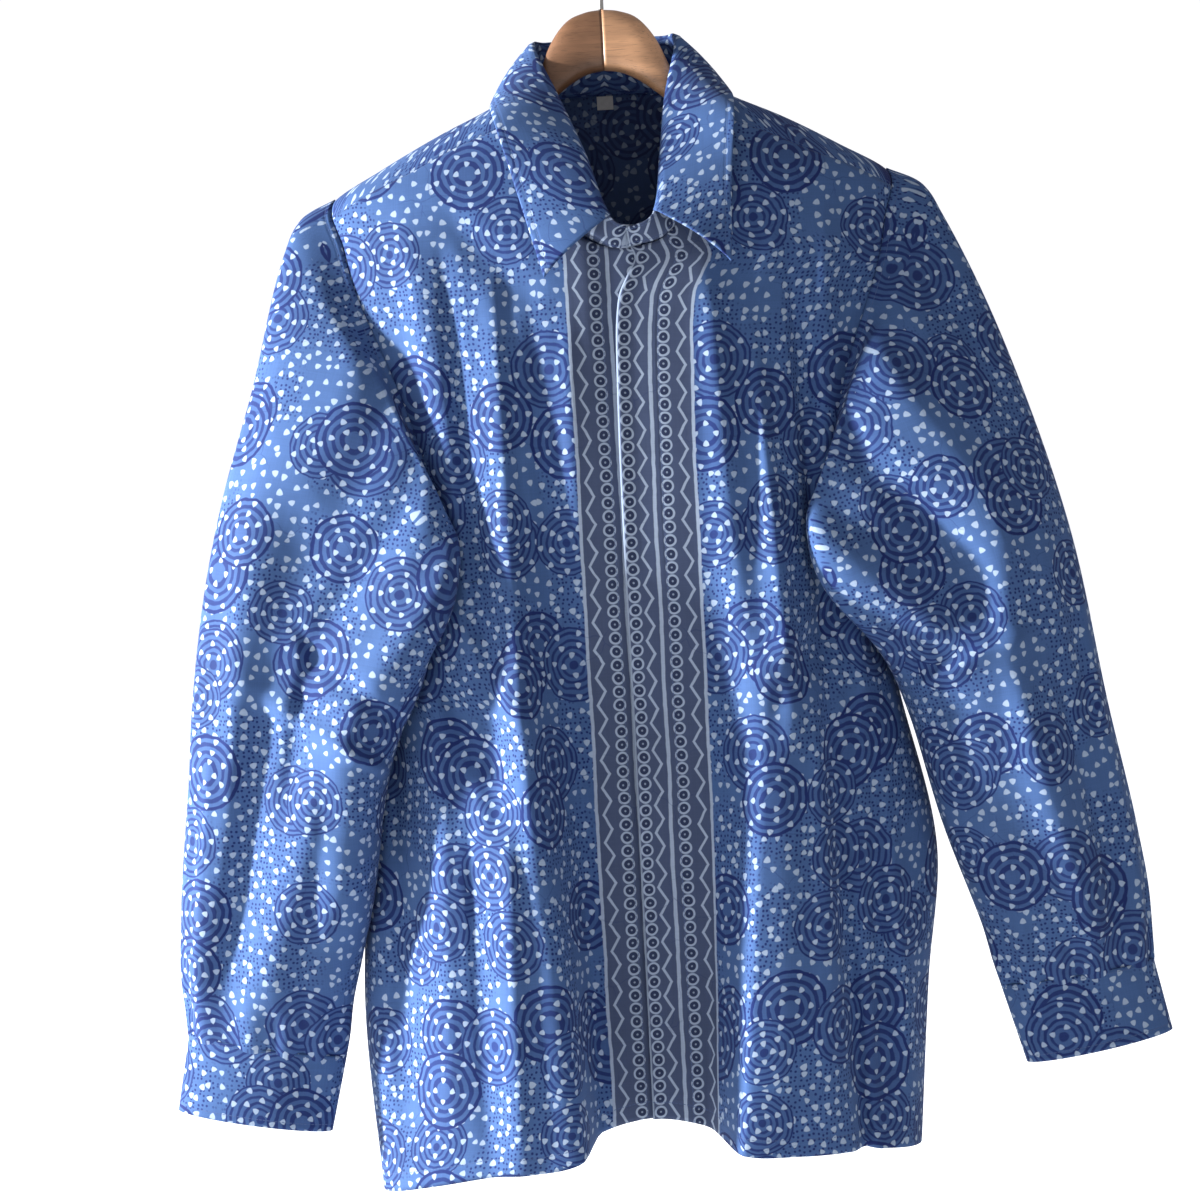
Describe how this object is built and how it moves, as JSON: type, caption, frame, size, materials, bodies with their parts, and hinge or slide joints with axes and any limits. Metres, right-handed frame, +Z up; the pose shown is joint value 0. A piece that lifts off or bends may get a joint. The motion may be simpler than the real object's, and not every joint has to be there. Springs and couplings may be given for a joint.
{
  "type": "batik shirt on a hanger",
  "caption": "Long-sleeved collared shirt in figured batik cloth with a concealed front closing and buttoned cuffs, hanging on an arched wooden hanger with a wire hook.",
  "frame": {"origin": "inside of the top of the hook's bow, where the hanger hangs on a rail", "axes": "+Z up, the front of the shirt faces -Y, +X is the wearer's left (the viewer's right)"},
  "size_m": [0.7005, 0.1619, 0.9016],
  "materials": {
    "batik_cloth": "matt printed cotton",
    "batik_collar_cloth": "matt printed cotton, stiffened",
    "wood_light": "satin varnish",
    "wood_dark": "satin varnish",
    "hook_steel": "plain wire",
    "label_tape": "woven tape, bare",
    "button_resin": "dark blue resin"
  },
  "bodies": {
    "root": {"front_left": "batik_cloth", "front_right": "batik_cloth", "back": "batik_cloth", "yoke": "batik_cloth", "sleeve_left": "batik_cloth", "sleeve_right": "batik_cloth", "cuff_left": "batik_cloth", "cuff_right": "batik_cloth", "sleeve_placket_left": "batik_cloth", "sleeve_placket_right": "batik_cloth", "collar_stand": "batik_collar_cloth", "collar_leaf": "batik_collar_cloth", "size_label": "label_tape", "cuff_button_left": "button_resin", "cuff_button_right": "button_resin", "hanger_arm_left": "wood_dark", "hanger_arm_right": "wood_light", "hanger_hook": "hook_steel"}
  },
  "joints": []
}
